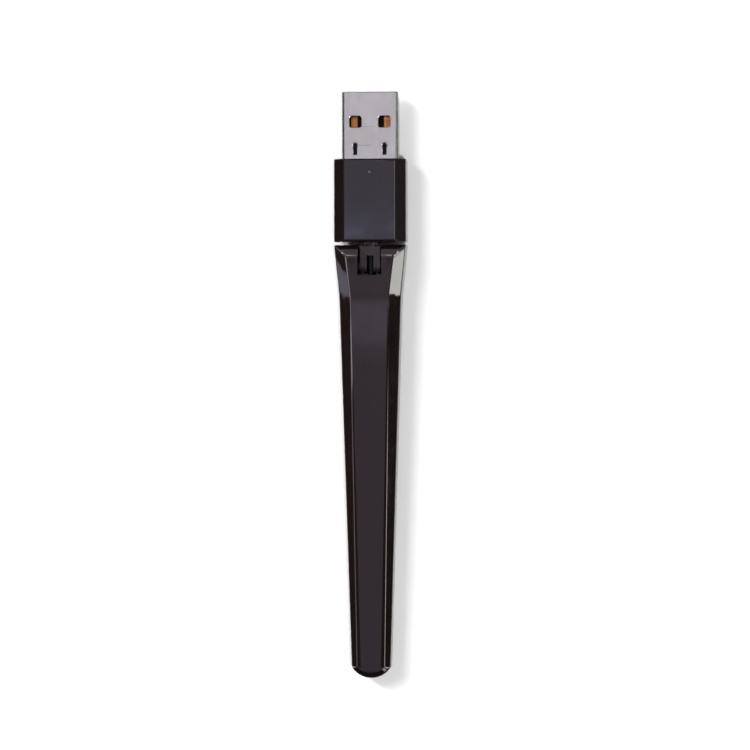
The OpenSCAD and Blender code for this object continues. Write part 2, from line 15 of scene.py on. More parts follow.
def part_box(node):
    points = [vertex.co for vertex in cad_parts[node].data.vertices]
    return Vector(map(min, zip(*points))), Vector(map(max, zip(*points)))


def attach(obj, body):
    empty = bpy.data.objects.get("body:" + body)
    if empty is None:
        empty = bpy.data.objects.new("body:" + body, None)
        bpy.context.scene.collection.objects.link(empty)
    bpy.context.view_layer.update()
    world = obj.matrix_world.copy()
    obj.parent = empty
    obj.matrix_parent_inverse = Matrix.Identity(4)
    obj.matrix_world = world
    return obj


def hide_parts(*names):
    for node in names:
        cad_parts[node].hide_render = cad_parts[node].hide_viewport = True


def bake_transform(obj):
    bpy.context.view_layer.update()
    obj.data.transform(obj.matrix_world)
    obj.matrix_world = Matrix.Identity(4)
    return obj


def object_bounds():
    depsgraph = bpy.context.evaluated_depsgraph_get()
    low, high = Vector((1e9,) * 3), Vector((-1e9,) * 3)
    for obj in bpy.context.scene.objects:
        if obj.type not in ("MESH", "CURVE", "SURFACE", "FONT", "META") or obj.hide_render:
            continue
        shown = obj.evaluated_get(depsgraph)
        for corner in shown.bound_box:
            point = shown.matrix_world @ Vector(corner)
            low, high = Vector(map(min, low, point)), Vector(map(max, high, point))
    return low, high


MM = 0.001
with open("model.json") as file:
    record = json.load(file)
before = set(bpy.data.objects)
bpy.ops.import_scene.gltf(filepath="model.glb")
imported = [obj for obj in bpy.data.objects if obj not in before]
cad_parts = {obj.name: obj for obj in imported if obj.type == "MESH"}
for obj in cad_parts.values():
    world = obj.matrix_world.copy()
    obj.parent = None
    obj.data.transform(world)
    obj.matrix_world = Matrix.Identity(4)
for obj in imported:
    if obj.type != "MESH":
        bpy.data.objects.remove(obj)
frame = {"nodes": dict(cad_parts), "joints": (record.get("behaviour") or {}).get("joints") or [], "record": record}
cad_low, cad_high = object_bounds()
nodes = frame["nodes"]
body_of_node = {n: body for body, members in frame["record"]["behaviour"]["bodies"].items() for n in members}
slot_of_node = {p["node"]: p["material_slot"] for p in frame["record"]["subparts"]}
MIX_COLOUR_A, MIX_COLOUR_B, MIX_COLOUR_OUT = 6, 7, 2  # places of the colour sockets on a mix node


def box_mm(node):
    low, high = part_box(node)
    return low / MM, high / MM


def mix(a, b, t):
    return a + (b - a) * t


# ---- material nodes ----

class Surface:
    """A material under construction: a Principled shader, and short calls that add nodes in front of it."""

    def __init__(self, name, colour, roughness, **inputs):
        self.material = bpy.data.materials.new(name)
        self.material.use_nodes = True
        self.tree = self.material.node_tree
        self.shader = self.tree.nodes["Principled BSDF"]
        self.set("Base Color", (*colour, 1))
        self.set("Roughness", roughness)
        for key, value in inputs.items():
            self.set(key.replace("_", " ").title().replace("Ior", "IOR"), value)

    def feed(self, socket, value):
        """Links an output to the socket, or gives the socket a plain value."""
        if hasattr(value, "is_output"):
            self.tree.links.new(value, socket)
        else:
            socket.default_value = value

    def set(self, name, value):
        self.feed(self.shader.inputs[name], value)

    def node(self, kind, settings=None, **inputs):
        """A new node. An input goes by its name, or by its place as i0, i1 and so on."""
        made = self.tree.nodes.new(kind)
        for key, value in (settings or {}).items():
            setattr(made, key, value)
        for key, value in inputs.items():
            name = key.replace("_", " ")
            by_place = name[0] == "i" and name[1:].isdigit()
            self.feed(made.inputs[int(name[1:]) if by_place else name], value)
        return made

    def place(self, stretch=(1, 1, 1), turn=(0, 0, 0)):
        """Object coordinates in millimetres, stretched along each axis."""
        coords = self.node("ShaderNodeTexCoord").outputs["Object"]
        scale = tuple(1000 * s for s in stretch)
        return self.node("ShaderNodeMapping", Vector=coords, Scale=scale, Rotation=turn).outputs["Vector"]

    def noise(self, scale, detail=2.0, stretch=(1, 1, 1), turn=(0, 0, 0)):
        place = self.place(stretch, turn)
        made = self.node("ShaderNodeTexNoise", Vector=place, Scale=scale, Detail=detail)
        return made.outputs["Fac"]

    def cells(self, scale, feature="F1"):
        made = self.node("ShaderNodeTexVoronoi", {"feature": feature}, Vector=self.place(), Scale=scale)
        return made.outputs["Distance"]

    def span(self, value, low, high, to_low, to_high):
        """Maps value smoothly from low..high to to_low..to_high, held at the ends."""
        made = self.node(
            "ShaderNodeMapRange", {"interpolation_type": "SMOOTHSTEP"},
            Value=value, From_Min=low, From_Max=high, To_Min=to_low, To_Max=to_high,
        )
        return made.outputs["Result"]

    def math(self, operation, a, b=0.0):
        return self.node("ShaderNodeMath", {"operation": operation}, i0=a, i1=b).outputs["Value"]

    def tint(self, factor, a, b):
        """Colour a where factor is 0, and colour b where it is 1."""
        made = self.node("ShaderNodeMix", {"data_type": "RGBA"}, i0=factor)
        for index, value in ((MIX_COLOUR_A, a), (MIX_COLOUR_B, b)):
            self.feed(made.inputs[index], value if hasattr(value, "is_output") else (*value, 1))
        return made.outputs[MIX_COLOUR_OUT]

    def edges(self, radius):
        """1 on edges that are sharper than a rounding of the given radius in millimetres, 0 on faces."""
        rounded = self.node("ShaderNodeBevel", {"samples": 6}, Radius=radius * MM).outputs["Normal"]
        plain = self.node("ShaderNodeNewGeometry").outputs["Normal"]
        made = self.node("ShaderNodeVectorMath", {"operation": "DOT_PRODUCT"}, i0=rounded, i1=plain)
        return self.span(made.outputs["Value"], 0.99, 0.8, 0, 1)

    def bump(self, height, depth, strength=1.0):
        """Adds a relief of depth millimetres on top of any earlier one."""
        made = self.node("ShaderNodeBump", Height=height, Distance=depth * MM, Strength=strength)
        earlier = self.shader.inputs["Normal"].links
        if earlier:
            self.tree.links.new(earlier[0].from_socket, made.inputs["Normal"])
        self.set("Normal", made.outputs["Normal"])


plug_high = box_mm("plug_shell")[1]
MOUTH_Y = plug_high.y
BEND_X = plug_high.x - 0.45  # the sheet bends round from here to its sides
SCRATCH_STRETCH = 14.0


def scratches(s, scale, turn):
    """Thin lines running one way: 1 on a line, 0 elsewhere."""
    lines = s.noise(scale, 3.0, (1, 1 / SCRATCH_STRETCH, 1), (0, 0, turn))
    sparse = s.noise(0.12, 1.0)
    thin = s.span(lines, 0.66, 0.70, 0, 1)
    return s.math("MULTIPLY", thin, s.span(sparse, 0.5, 0.62, 0, 1))


def gloss_black():
    """Polished casing plastic with faint haze, scratches and dust."""
    black = (0.0053, 0.0026, 0.0026)
    dust_grey = (0.09, 0.085, 0.08)
    s = Surface("casing_gloss_black", black, 0.05, ior=1.5)
    haze = s.noise(0.22, 3.0)
    marks = s.math("MAXIMUM", scratches(s, 2.6, 0.5), scratches(s, 3.1, -1.1))
    dust = s.span(s.cells(0.9), 0.0, 0.055, 1, 0)
    dust = s.math("MULTIPLY", dust, s.span(s.noise(0.35, 2.0), 0.55, 0.7, 0, 1))
    rough = s.span(haze, 0.3, 0.75, 0.03, 0.07)
    rough = s.math("ADD", rough, s.math("MULTIPLY", marks, 0.05))
    s.set("Roughness", s.math("ADD", rough, s.math("MULTIPLY", s.edges(0.12), 0.06)))
    s.set("Base Color", s.tint(s.math("MULTIPLY", dust, 0.4), black, dust_grey))
    s.bump(s.noise(0.1, 1.0), 0.012, 0.35)
    s.bump(s.noise(1.4, 2.0), 0.0004)
    s.bump(marks, 0.0005, 0.5)
    return s.material


def rolled_steel():
    """Nickel-plated sheet with a fine rolled grain, and painted shade that makes it darker where it is bent or
    cut.
    """
    s = Surface("plug_steel", (0.6, 0.62, 0.61), 0.25, metallic=1.0)
    grain = s.noise(6.0, 4.0, (1, 0.03, 1))
    streaks = s.noise(0.9, 2.0, (1, 0.08, 1))
    blotch = s.noise(0.3, 3.0)
    rough = s.span(grain, 0.3, 0.7, 0.22, 0.26)
    s.set("Roughness", s.math("ADD", rough, s.span(blotch, 0.35, 0.7, 0.0, 0.012)))
    body = s.tint(s.span(blotch, 0.3, 0.7, 0, 1), (0.61, 0.64, 0.62), (0.59, 0.62, 0.60))
    body = s.tint(s.span(streaks, 0.45, 0.7, 0, 0.06), body, (0.66, 0.68, 0.67))
    facing = s.node("ShaderNodeNewGeometry").outputs["Normal"]
    facing = s.node("ShaderNodeSeparateXYZ", Vector=facing).outputs
    place = s.node("ShaderNodeSeparateXYZ", Vector=s.place()).outputs
    sideways = s.math("ABSOLUTE", facing["X"])
    # painted shade: the bends and side walls are darkened as if they mirrored dark surroundings
    painted_shade = s.math("MULTIPLY", s.span(sideways, 0.12, 0.45, 0, 1), s.span(sideways, 0.9, 1.0, 1, 0.6))
    painted_shade = s.math("MULTIPLY", painted_shade, s.span(s.math("ABSOLUTE", place["X"]), BEND_X - 0.1, BEND_X, 0, 1))
    # painted shade as well on the cut edge at the mouth, and on the rounding just behind it
    painted_shade = s.math("MAXIMUM", painted_shade, s.span(facing["Y"], 0.15, 0.4, 0, 0.8))
    painted_shade = s.math("MAXIMUM", painted_shade, s.span(place["Y"], MOUTH_Y - 0.24, MOUTH_Y - 0.16, 0, 0.5))
    # the painted shade goes into the sheet's colour here
    body = s.tint(s.math("MULTIPLY", painted_shade, 0.93), body, (0.05, 0.046, 0.042))
    worn = s.math("MULTIPLY", s.edges(0.06), 0.3)
    s.set("Base Color", s.tint(worn, body, (0.70, 0.72, 0.70)))
    s.set("Anisotropic", 0.3)
    s.bump(grain, 0.0006)
    s.bump(s.noise(0.25, 1.0), 0.003, 0.5)
    return s.material


def satin_plastic(name, colour, roughness, texture=0.004, speck=0.3, specular=0.5):
    """Moulded plastic with a fine eroded texture."""
    s = Surface(name, colour, roughness, specular_ior_level=specular)
    fine = s.noise(7.0, 4.0)
    cloud = s.noise(0.6, 2.0)
    lighter = tuple(c * (1 + speck) + 0.1 * speck * (0.01 + c) for c in colour)
    s.set("Base Color", s.tint(s.span(cloud, 0.3, 0.7, 0, 1), colour, lighter))
    rough = s.span(fine, 0.3, 0.7, roughness - 0.06, roughness + 0.08)
    s.set("Roughness", s.math("SUBTRACT", rough, s.math("MULTIPLY", s.edges(0.08), 0.12)))
    s.bump(fine, texture)
    return s.material


def plated(name, colour, roughness, worn, grain=0.0015):
    """Smooth plated metal with slight clouding and brighter edges."""
    s = Surface(name, colour, roughness, metallic=1.0)
    cloud = s.noise(1.3, 3.0)
    darker = tuple(c * 0.86 for c in colour)
    body = s.tint(s.span(cloud, 0.35, 0.65, 0, 1), colour, darker)
    s.set("Base Color", s.tint(s.math("MULTIPLY", s.edges(0.06), 0.5), body, worn))
    s.set("Roughness", s.span(cloud, 0.3, 0.7, roughness - 0.05, roughness + 0.08))
    s.bump(s.noise(6.0, 3.0, (1, 0.15, 1)), grain)
    return s.material


def rubbed_gold():
    """Gold-plated contacts with paler tracks along Y where the mating contacts have rubbed."""
    gold = (0.5, 0.215, 0.062)
    s = Surface("contact_gold", gold, 0.28, metallic=1.0)
    cloud = s.noise(1.3, 3.0)
    track = s.span(s.noise(1.1, 1.0, (1, 0.04, 1)), 0.48, 0.6, 0, 0.8)
    body = s.tint(s.span(cloud, 0.35, 0.65, 0, 1), gold, (0.42, 0.17, 0.05))
    body = s.tint(track, body, (0.72, 0.42, 0.13))
    s.set("Base Color", s.tint(s.math("MULTIPLY", s.edges(0.06), 0.4), body, (0.8, 0.5, 0.2)))
    s.set("Roughness", s.span(cloud, 0.3, 0.7, 0.22, 0.34))
    s.bump(s.noise(6.0, 3.0, (1, 0.1, 1)), 0.0012)
    return s.material


def solder_mask():
    """Green board lacquer over woven glass, with raised lines where the copper runs."""
    green = (0.012, 0.075, 0.032)
    s = Surface("circuit_board", green, 0.3, coat_weight=0.4, coat_roughness=0.15)
    weave = s.math("MULTIPLY", s.noise(3.0, 1.0, (1, 0.1, 1)), s.noise(3.0, 1.0, (0.1, 1, 1)))
    tracks = s.span(s.cells(0.8, "DISTANCE_TO_EDGE"), 0.05, 0.08, 1, 0)
    lines = s.tint(s.math("MULTIPLY", tracks, 0.6), green, (0.03, 0.13, 0.05))
    s.set("Base Color", s.tint(s.span(weave, 0.2, 0.3, 0, 0.4), lines, (0.02, 0.095, 0.04)))
    s.bump(tracks, 0.02, 0.4)
    s.bump(weave, 0.003)
    return s.material


def ceramic_with_ends():
    """Sintered ceramic bodies with mottled tin on the faces that look along Y."""
    clay = (0.36, 0.21, 0.12)
    s = Surface("capacitor_ceramic", clay, 0.5)
    facing = s.node("ShaderNodeNewGeometry").outputs["Normal"]
    along = s.math("ABSOLUTE", s.node("ShaderNodeSeparateXYZ", Vector=facing).outputs["Y"])
    tin = s.span(along, 0.5, 0.8, 0, 1)
    mottle = s.noise(9.0, 3.0)
    body = s.tint(s.span(mottle, 0.3, 0.7, 0, 1), clay, (0.28, 0.17, 0.10))
    s.set("Base Color", s.tint(tin, body, (0.62, 0.62, 0.60)))
    s.set("Metallic", tin)
    s.bump(mottle, 0.004)
    return s.material


def clear_plastic(name, colour, cloudiness, clearness=1.0):
    """Clear resin. cloudiness is its greatest roughness, and clearness the share of light let through."""
    s = Surface(name, colour, 0.08, ior=1.49, transmission_weight=clearness)
    flow = s.noise(1.5, 2.0, (1, 0.3, 1))
    s.set("Roughness", s.span(flow, 0.3, 0.7, 0.05, cloudiness))
    s.bump(flow, 0.003)
    return s.material


def foam():
    """Matt grey foam with open pores."""
    s = Surface("tape_foam", (0.27, 0.27, 0.28), 0.9)
    pores = s.cells(5.0)
    s.set("Base Color", s.tint(s.span(pores, 0.1, 0.5, 0, 1), (0.16, 0.16, 0.17), (0.3, 0.3, 0.31)))
    s.bump(pores, 0.04)
    return s.material


materials = {
    "casing_gloss_black": gloss_black(),
    "plug_steel": rolled_steel(),
    "insulator_black": satin_plastic(
        "insulator_black", (0.003, 0.0025, 0.003), 0.5, speck=0.1, specular=0.15),
    "contact_gold": rubbed_gold(),
    "circuit_board": solder_mask(),
    "chip_black": satin_plastic("chip_black", (0.012, 0.012, 0.013), 0.55, 0.006),
    "shield_tin": plated("shield_tin", (0.58, 0.58, 0.57), 0.32, (0.75, 0.75, 0.74), 0.003),
    "capacitor_ceramic": ceramic_with_ends(),
    "led_resin": clear_plastic("led_resin", (0.95, 0.9, 0.7), 0.3),
    "clear_guide": clear_plastic("clear_guide", (0.3, 0.3, 0.32), 0.3, 0.6),
    "cable_black": satin_plastic("cable_black", (0.009, 0.008, 0.009), 0.35, 0.002, specular=0.3),
    "solder": plated("solder", (0.6, 0.6, 0.6), 0.22, (0.8, 0.8, 0.8), 0.006),
    "knuckle_black": satin_plastic("knuckle_black", (0.014, 0.011, 0.013), 0.4, 0.005),
    "copper": plated("copper", (0.72, 0.33, 0.18), 0.3, (0.85, 0.5, 0.33), 0.002),
    "tape_foam": foam(),
}


# ---- meshes ----

MERGE_GAP = 0.002
FLAT_ANGLE = 0.6  # faces that meet at less are one plane
SHARP_ANGLE = 12  # edges sharper than this are rounded


def cleaned(node):
    """The CAD node's mesh with its coplanar triangles joined into plain faces."""
    bm = bmesh.new()
    bm.from_mesh(nodes[node].data)
    bmesh.ops.remove_doubles(bm, verts=bm.verts, dist=MERGE_GAP * MM)
    bmesh.ops.dissolve_limit(bm, angle_limit=math.radians(FLAT_ANGLE), verts=bm.verts, edges=bm.edges)
    return bm


def round_edges(bm, width, segments, chosen):
    """Rounds the chosen sharp edges. chosen gets an edge's middle in millimetres, and the edge."""
    found = []
    for e in bm.edges:
        if len(e.link_faces) == 2 and e.calc_face_angle(0) > math.radians(SHARP_ANGLE):
            if chosen((e.verts[0].co + e.verts[1].co) / 2 / MM, e):
                found.append(e)
    if found:
        bmesh.ops.bevel(
            bm, geom=found, offset=width * MM, offset_type="OFFSET", segments=segments,
            profile=0.5, affect="EDGES", clamp_overlap=True,
        )


def loose(name, bm):
    """A scratch object made from bm."""
    mesh = bpy.data.meshes.new(name)
    bm.to_mesh(mesh)
    bm.free()
    obj = bpy.data.objects.new(name, mesh)
    bpy.context.scene.collection.objects.link(obj)
    return obj


def tube(name, rings):
    """A scratch object with closed ends through rings of as many points each, in millimetres."""
    bm = bmesh.new()
    rings = [[bm.verts.new(Vector(p) * MM) for p in ring] for ring in rings]
    for a, b in zip(rings, rings[1:]):
        for i in range(len(a)):
            j = (i + 1) % len(a)
            bm.faces.new((a[i], a[j], b[j], b[i]))
    bm.faces.new(rings[0])
    bm.faces.new(rings[-1])
    bmesh.ops.recalc_face_normals(bm, faces=bm.faces)
    return loose(name, bm)


def combine(target, tool, operation):
    """Cuts target with tool, or joins them, and throws the tool away."""
    mod = target.modifiers.new("cut", "BOOLEAN")
    mod.operation = operation
    mod.object = tool
    mod.solver = "EXACT"
    bpy.context.view_layer.update()
    made = bpy.data.meshes.new_from_object(target.evaluated_get(bpy.context.evaluated_depsgraph_get()))
    target.modifiers.clear()
    target.data = made
    bpy.data.objects.remove(tool)
    return target


def finish_piece(obj, name, stands_for, body=None, smooth_angle=35):
    """Gives a finished mesh its shading, material and slot, and puts it in place of CAD nodes."""
    slot = slot_of_node[stands_for[0]]
    obj.name = name
    obj.data.name = name
    obj.data.materials.clear()
    obj.data.materials.append(materials[slot])
    for p in obj.data.polygons:
        p.use_smooth = True
        p.material_index = 0
    obj.data.set_sharp_from_angle(angle=math.radians(smooth_angle))
    weighted = obj.modifiers.new("weighted", "WEIGHTED_NORMAL")
    weighted.keep_sharp = True
    if body is not None:
        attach(obj, body)
    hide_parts(*stands_for)
    return obj


def refined(name, node, roundings):
    """The CAD node's own shape with its edges rounded. roundings lists (width, segments, chosen)."""
    bm = cleaned(node)
    for width, segments, chosen in roundings:
        round_edges(bm, width, segments, chosen)
    finish_piece(loose(name, bm), name, [node], body_of_node[node])


# ---- antenna: outlines stacked from the seam up or down ----

top_low, top_high = box_mm("antenna_top_shell")
ANTENNA_FRONT = top_high.y
ANTENNA_TIP = top_low.y
SEAM = top_low.z
ANTENNA_TOP = top_high.z
FLOOR = cad_low.z / MM
FRONT_HALF = top_high.x
WAIST_Y = ANTENNA_FRONT - 11.14  # the flare towards the hub ends and the taper to the tip starts
WAIST_HALF = 6.6
TIP_R = 4.94
TIP_CENTRE = ANTENNA_TIP + TIP_R
TIP_HALF = 4.18
END_BEVEL_Y = ANTENNA_FRONT - 2.14  # the upper flat ends and the bevel towards the hub starts
END_BREAK_Y = ANTENNA_FRONT - 0.96  # and here that bevel gets steeper
END_BREAK_Z = 3.4
FRONT_EDGE_Z = 2.3
FLARE_BACK = 0.44
FLAT_FLARE_BACK = 0.4
TIP_TOP = 2.2
BEVEL_FRONT_Z = 2.8
BEVEL_WAIST_Z = 2.3
BEVEL_TIP_Z = 1.12
CORNER_R = 0.3
# half widths at the front, the waist and the tip, and the tip's radius, of lines near the upper flat
FACET = (5.24, 4.2, 2.95, TIP_R - 1.15)
FLAT = (4.98, 3.95, 2.15, TIP_R - 1.5)
INNER = (4.7, 3.65, 1.85, TIP_R - 1.8)
WALL = 1.2
LIP = 0.45
FIT = 0.05
RIDGE_HIGH = 0.5
GROOVE_DEEP = RIDGE_HIGH + FIT
SOFT_SEAM = 0.07
PAST = 0.5  # how far a cutting shape runs past the seam
LOW_BEVEL_W = 1.6
LOW_BEVEL_H = 1.4
CORNER_STEPS = 5
ARC_STEPS = 16
TAPER_STEPS = 12
FLARE_STEPS = 4


def fall(y):
    """0 from the front to the waist, then rising evenly to 1 at the tip."""
    return max(0.0, (WAIST_Y - y) / (WAIST_Y - ANTENNA_TIP))


def upper_z(y):
    return mix(ANTENNA_TOP, TIP_TOP, fall(y))


def bevel_z(y):
    """Height of the upper bevel's lower edge, which rises in the flare and falls towards the tip."""
    if y > WAIST_Y:
        flared = min(1.0, (y - WAIST_Y) / (ANTENNA_FRONT - FLARE_BACK - WAIST_Y))
        return mix(BEVEL_WAIST_Z, BEVEL_FRONT_Z, flared)
    return mix(BEVEL_WAIST_Z, BEVEL_TIP_Z, fall(y))


def rounded(points, radii):
    """A line of points whose corners are rounded. A corner with radius None stays one point."""
    line = []
    for i, (p, radius) in enumerate(zip(points, radii)):
        if radius is None:
            line.append(p.copy())
            continue
        before, after = points[i - 1] - p, points[i + 1] - p
        a = p + before.normalized() * min(radius, before.length * 0.45)
        b = p + after.normalized() * min(radius, after.length * 0.45)
        for k in range(CORNER_STEPS + 1):
            t = k / CORNER_STEPS
            line.append(a.lerp(p, t).lerp(p.lerp(b, t), t))
    return line


def outline(front, flare, waist, tip, radius, height):
    """The right half of one level of the antenna, from the middle of its front to the middle of its tip."""
    points = [Vector((0, front[1], front[2])), Vector(front)]
    radii = [None, CORNER_R]
    for start, end, steps, turn in ((flare, waist, FLARE_STEPS, 0.5), (waist, tip, TAPER_STEPS, 3.0)):
        points.append(Vector(start))
        radii.append(turn)
        for k in range(1, steps):
            points.append(Vector(start).lerp(Vector(end), k / steps))
            radii.append(None)
    opening = math.asin(min(1.0, tip[0] / radius))
    points.append(Vector(tip))
    radii.append(0.25)
    for k in range(1, ARC_STEPS + 1):
        a = opening * (1 - k / ARC_STEPS)
        y = TIP_CENTRE - radius * math.cos(a)
        points.append(Vector((radius * math.sin(a), y, height(y))))
        radii.append(None)
    return rounded(points, radii)


def waist_span():
    """First and last station of an outline that belong to the rounded waist."""
    first = 1 + 2 * (CORNER_STEPS + 1) + FLARE_STEPS - 1
    return first, first + CORNER_STEPS


def wall_level(t, z_shift=0.0, z_fixed=None, front_y=None):
    """The antenna's outermost line at the bevel's lower edge, or straight under it at a fixed height."""
    def height(y):
        return bevel_z(y) + z_shift if z_fixed is None else z_fixed

    front_z = FRONT_EDGE_Z + z_shift if z_fixed is None else z_fixed
    y0 = (ANTENNA_FRONT if front_y is None else front_y) - (t if front_y is None else 0)
    flare_y = y0 - FLARE_BACK
    half = mix(WAIST_HALF, FRONT_HALF, (y0 - WAIST_Y) / (ANTENNA_FRONT - WAIST_Y))
    flare_half = mix(WAIST_HALF, FRONT_HALF, (flare_y - WAIST_Y) / (ANTENNA_FRONT - WAIST_Y))
    tip_y = TIP_CENTRE - math.sqrt((TIP_R - t) ** 2 - (TIP_HALF - t) ** 2)
    return outline(
        (half - t, y0, front_z), (flare_half - t, flare_y, height(flare_y)),
        (WAIST_HALF - t, WAIST_Y, height(WAIST_Y)), (TIP_HALF - t, tip_y, height(tip_y)),
        TIP_R - t, height,
    )


def flat_level(t, sizes, drop, tip_drop, back=0.0):
    """A line near the upper flat, drop millimetres under it, and tip_drop at the tip."""
    front_half, waist_half, tip_half, radius = (size - 0.5 * t for size in sizes)
    front_y = END_BEVEL_Y - 0.3 * t - back
    flare_y = front_y - FLAT_FLARE_BACK
    flare_half = mix(front_half, waist_half, FLAT_FLARE_BACK / (front_y - WAIST_Y))
    tip_y = TIP_CENTRE - math.sqrt(radius ** 2 - tip_half ** 2)

    def height(y):
        return upper_z(y) - mix(drop, tip_drop, fall(y))

    return outline(
        (front_half, front_y, height(front_y)), (flare_half, flare_y, height(flare_y)),
        (waist_half, WAIST_Y, height(WAIST_Y)), (tip_half, tip_y, height(tip_y)), radius, height,
    )


def upper_levels(t, seam_z, soft_seam=0.0):
    """Levels of the upper form, moved in by t: seam, bevel's lower edge, end bevel's break, then the flat."""
    wall = wall_level(t, -0.5 * t)
    facet = flat_level(t, FACET, t + 0.1, t + 0.2)
    flat = flat_level(t, FLAT, t, t, back=0.26)
    inner = flat_level(t, INNER, t, t, back=0.56)
    broken = [a.lerp(b, 0.5) for a, b in zip(wall, facet)]
    corner_end = 1 + CORNER_STEPS + 1
    corner_x = mix(FRONT_HALF - CORNER_R, FACET[0], 0.5) - 0.75 * t
    corner = Vector((corner_x, END_BREAK_Y - 0.65 * t, END_BREAK_Z - t))
    shift = corner - broken[corner_end // 2 + 1]
    for i in range(corner_end):
        broken[i] = broken[i] + shift
        if i == 0:
            broken[i].x = 0
    levels = [wall_level(t, z_fixed=seam_z + soft_seam), wall, broken, facet, flat, inner]
    radii = [None, 0.25, 0.12, 0.12, 0.08, None]
    if soft_seam:
        levels.insert(0, wall_level(t + soft_seam, z_fixed=seam_z))
        radii.insert(0, None)
    return levels, radii


def lower_levels(t, seam_z, soft_seam=0.0):
    """Levels of the lower form, moved in by t: underside, lower bevel's upper edge, seam."""
    inset = LOW_BEVEL_W + 0.45 * t
    front_y = ANTENNA_FRONT - t
    radius = TIP_R - inset
    tip_half = TIP_HALF - inset
    floor_z = FLOOR + t
    under = outline(
        (FRONT_HALF - inset, front_y, floor_z), (FRONT_HALF - inset - 0.2, END_BEVEL_Y, floor_z),
        (WAIST_HALF - inset, WAIST_Y, floor_z),
        (tip_half, TIP_CENTRE - math.sqrt(radius ** 2 - tip_half ** 2), floor_z), radius, lambda y: floor_z,
    )
    levels = [under, wall_level(t, z_fixed=FLOOR + LOW_BEVEL_H), wall_level(t, z_fixed=seam_z - soft_seam)]
    radii = [None, 0.3, None]
    if soft_seam:
        levels.append(wall_level(t + soft_seam, z_fixed=seam_z))
        radii.append(None)
    return levels, radii


def stacked(levels, radii):
    """A closed mesh through levels of equal length, mirrored about X = 0, with plane caps."""
    columns = [rounded([level[j] for level in levels], radii) for j in range(len(levels[0]))]
    last = len(columns) - 1
    bm = bmesh.new()
    right = [[bm.verts.new(p * MM) for p in column] for column in columns]
    left = [
        right[j] if j in (0, last) else [bm.verts.new(Vector((-p.x, p.y, p.z)) * MM) for p in column]
        for j, column in enumerate(columns)
    ]
    for j in range(last):
        for k in range(len(columns[0]) - 1):
            bm.faces.new((right[j][k], right[j + 1][k], right[j + 1][k + 1], right[j][k + 1]))
            bm.faces.new((left[j][k], left[j][k + 1], left[j + 1][k + 1], left[j + 1][k]))
    waist_first, waist_last = waist_span()
    for k in (0, -1):
        ends = [(0, waist_first), (waist_last, last)] + [(j, j + 1) for j in range(waist_first, waist_last)]
        for a, b in ends:
            run = [right[j][k] for j in range(a, b + 1)]
            back = [left[j][k] for j in range(b, a - 1, -1)]
            bm.faces.new([v for i, v in enumerate(run + back) if v not in (run + back)[:i]])
    bmesh.ops.recalc_face_normals(bm, faces=bm.faces)
    return bm


ROD_SIDES = 48


def block(low, high):
    """A scratch block between two corners."""
    bm = bmesh.new()
    bmesh.ops.create_cube(bm, size=1)
    low, high = Vector(low), Vector(high)
    for v in bm.verts:
        v.co = Vector([mix(low[i], high[i], v.co[i] + 0.5) for i in range(3)]) * MM
    return loose("block", bm)


def rod(radius, start, end):
    """A scratch round bar between two points."""
    start, end = Vector(start), Vector(end)
    bm = bmesh.new()
    bmesh.ops.create_cone(
        bm, cap_ends=True, segments=ROD_SIDES, radius1=radius * MM, radius2=radius * MM,
        depth=(end - start).length * MM,
    )
    turn = Vector((0, 0, 1)).rotation_difference(end - start).to_matrix().to_4x4()
    bm.transform(Matrix.Translation((start + end) / 2 * MM) @ turn)
    return loose("rod", bm)


SLOT_HALF = 2.475
SLOT_END = ANTENNA_FRONT - 6.43
CHEEK = 1.35
FOLD_Y = frame["joints"][1]["pos_m"][1] / MM
FOLD_Z = frame["joints"][1]["pos_m"][2] / MM
BOSS_REACH = box_mm("hinge_knuckle")[1].x
BOSS_BORE_R = 0.95
CABLE_HOLE_R = 0.75
RIM = 0.16
RIM_STEPS = 5


def slot_tool():
    """The slot for the knuckle, flared at its top edge so that the slot's rim comes out rounded."""
    profile = [(0.0, SEAM - 1), (0.0, ANTENNA_TOP - RIM)]
    for k in range(1, RIM_STEPS + 1):
        a = math.pi / 2 * k / RIM_STEPS
        profile.append((RIM * (1 - math.cos(a)), ANTENNA_TOP - RIM + RIM * math.sin(a)))
    profile.append((RIM + 0.5, ANTENNA_TOP + 0.02))
    profile.append((RIM + 0.5, ANTENNA_TOP + 1))
    rings = []
    for out, z in profile:
        x, rear = SLOT_HALF + out, SLOT_END - out
        cut = 0.18 + 0.5 * out
        ring = [
            (-x, ANTENNA_FRONT + 1), (-x, rear + cut), (-x + cut, rear),
            (x - cut, rear), (x, rear + cut), (x, ANTENNA_FRONT + 1),
        ]
        rings.append([(px, py, z) for px, py in ring])
    return tube("slot", rings)


def seam_band(t, low, high):
    """A flat plate inside the antenna's outline, moved in by t, behind the slot."""
    front_y = SLOT_END - CHEEK - 1
    levels = [wall_level(t, z_fixed=z, front_y=front_y) for z in (low, high)]
    return loose("band", stacked(levels, [None, None]))


def hollow(levels, radii):
    """The hollow that leaves walls round the slot."""
    room = loose("room", stacked(levels, radii))
    low = (-SLOT_HALF - CHEEK, SLOT_END - CHEEK, FLOOR - 1)
    high = (SLOT_HALF + CHEEK, ANTENNA_FRONT + 1, ANTENNA_TOP + 1)
    cheeks = block(low, high)
    return combine(room, cheeks, "DIFFERENCE")


def antenna_top():
    shell = loose("antenna_top", stacked(*upper_levels(0, SEAM, SOFT_SEAM)))
    combine(shell, hollow(*upper_levels(WALL, SEAM - PAST)), "DIFFERENCE")
    combine(shell, slot_tool(), "DIFFERENCE")
    reach = BOSS_REACH + 0.1
    combine(shell, rod(BOSS_BORE_R, (-reach, FOLD_Y, FOLD_Z), (reach, FOLD_Y, FOLD_Z)), "DIFFERENCE")
    combine(shell, rod(CABLE_HOLE_R, (0, SLOT_END + 1, 0), (0, SLOT_END - CHEEK - 1, 0)), "DIFFERENCE")
    combine(shell, seam_band(WALL - LIP - FIT, SEAM - PAST, SEAM + GROOVE_DEEP), "DIFFERENCE")
    finish_piece(shell, "antenna_top", ["antenna_top_shell"], "antenna")


